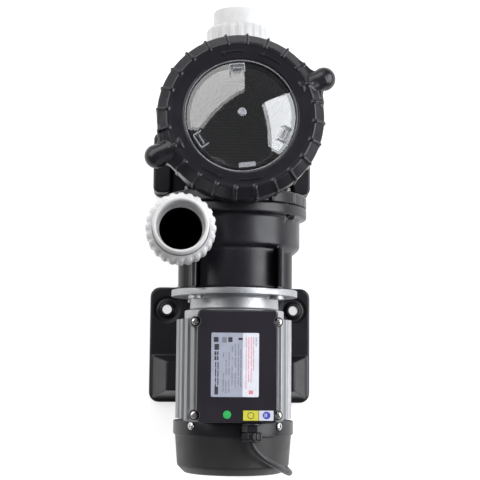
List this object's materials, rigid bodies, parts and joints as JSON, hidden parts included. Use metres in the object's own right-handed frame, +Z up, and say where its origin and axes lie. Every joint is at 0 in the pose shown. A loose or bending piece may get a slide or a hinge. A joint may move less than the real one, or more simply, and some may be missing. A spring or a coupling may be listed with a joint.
{
  "type": "pool pump",
  "caption": "Electric pool pump: finned motor, volute casing and strainer pot with a clear lid under a locking ring, on one base plate.",
  "frame": {"origin": "on the floor at the base plate's underside, on the centreline, midway between the two mounting holes", "axes": "+Z up, +Y along the motor shaft towards the inlet, +X to the right seen from the motor end"},
  "size_m": [0.2086, 0.5454, 0.29],
  "materials": {
    "black_plastic": "glass-filled moulded plastic, fine satin grain",
    "cover_plastic": "satin moulded plastic, slightly lighter than the casing",
    "lid_plastic": "clear moulded lid, polished",
    "union_white": "white moulded union, satin",
    "aluminium_cast": "die-cast, fine blast texture",
    "aluminium_extruded": "extruded, lengthwise drawing lines",
    "zinc_steel": "bright zinc-plated fasteners",
    "shaft_steel": "ground",
    "core_steel": "laminated electrical steel",
    "winding_copper": "varnished copper wire",
    "seal_rubber": "moulded elastomer",
    "lead_rubber": "rubber-sheathed mains lead and plug",
    "seal_ceramic": "lapped",
    "capacitor_can": "white capacitor case"
  },
  "bodies": {
    "root": {"base_plate": "black_plastic", "motor_pad": "seal_rubber", "volute_casing": "black_plastic", "strainer_pot": "black_plastic", "casing_o_ring": "seal_rubber", "lid_o_ring": "seal_rubber", "inlet_o_ring": "seal_rubber", "outlet_o_ring": "seal_rubber", "diffuser": "black_plastic", "outlet_tail": "union_white", "inlet_tail": "union_white", "motor_flange": "aluminium_cast", "motor_housing": "aluminium_extruded", "stator_core": "core_steel", "winding_front": "winding_copper", "winding_rear": "winding_copper", "front_bearing": "shaft_steel", "rear_bearing": "shaft_steel", "seal_seat": "seal_ceramic", "rear_end_shield": "aluminium_cast", "fan_cover": "cover_plastic", "terminal_cover": "black_plastic", "capacitor": "capacitor_can", "terminal_block": "capacitor_can", "gland_body": "black_plastic", "gland_nut": "black_plastic", "mains_lead": "lead_rubber", "lead_tail": "lead_rubber", "lead_coil": "lead_rubber", "coil_tie": "lead_rubber", "mains_plug": "lead_rubber", "flange_bolt_1": "zinc_steel", "flange_bolt_2": "zinc_steel", "flange_bolt_3": "zinc_steel", "flange_bolt_4": "zinc_steel", "casing_bolt_1": "zinc_steel", "casing_bolt_2": "zinc_steel", "casing_bolt_3": "zinc_steel", "casing_bolt_4": "zinc_steel", "cover_screw_1": "zinc_steel", "cover_screw_2": "zinc_steel", "cover_screw_3": "zinc_steel", "cover_screw_4": "zinc_steel", "fan_cover_screw_1": "zinc_steel", "fan_cover_screw_2": "zinc_steel", "fan_cover_screw_3": "zinc_steel", "fan_cover_screw_4": "zinc_steel"},
    "rotor": {"shaft": "shaft_steel", "rotor_core": "core_steel", "seal_head": "shaft_steel", "impeller": "black_plastic", "cooling_fan": "cover_plastic"},
    "basket": {"strainer_basket": "black_plastic"},
    "bail": {"basket_handle": "black_plastic"},
    "lid": {"clear_lid": "lid_plastic"},
    "lock": {"lock_ring": "black_plastic"},
    "inlet_union_nut": {"inlet_nut": "union_white"},
    "outlet_union_nut": {"outlet_nut": "union_white"},
    "pot_plug": {"pot_drain_plug": "black_plastic"},
    "volute_plug": {"volute_drain_plug": "black_plastic"}
  },
  "joints": [
    {"name": "rotor_spin", "type": "hinge", "parent": "root", "child": "rotor", "pos_m": [0, 0, 0.121], "axis": [0, 1, 0], "continuous": true},
    {"name": "basket_lift", "type": "slide", "parent": "root", "child": "basket", "axis": [0, 0, 1], "range_m": [0, 0.21]},
    {"name": "bail_swing", "type": "hinge", "parent": "basket", "child": "bail", "pos_m": [0, 0.1997, 0.211], "axis": [-1, 0, 0], "range_deg": [0, 32]},
    {"name": "lid_lift", "type": "slide", "parent": "basket", "child": "lid", "axis": [0, 0, 1], "range_m": [0, 0.1]},
    {"name": "lock_turn", "type": "hinge", "parent": "lid", "child": "lock", "pos_m": [0, 0.1997, 0.235], "axis": [0, 0, 1], "range_deg": [0, 12]},
    {"name": "inlet_nut_turn", "type": "hinge", "parent": "root", "child": "inlet_union_nut", "pos_m": [0, 0.297, 0.16], "axis": [0, 1, 0], "continuous": true},
    {"name": "outlet_nut_turn", "type": "hinge", "parent": "root", "child": "outlet_union_nut", "pos_m": [-0.0636, 0.0735, 0.248], "axis": [0, 0, 1], "continuous": true},
    {"name": "pot_plug_turn", "type": "hinge", "parent": "root", "child": "pot_plug", "pos_m": [0, 0.28, 0.035], "axis": [0, 1, 0], "continuous": true},
    {"name": "volute_plug_turn", "type": "hinge", "parent": "root", "child": "volute_plug", "pos_m": [0.07, 0.08, 0.07], "axis": [1, 0, 0], "continuous": true}
  ]
}
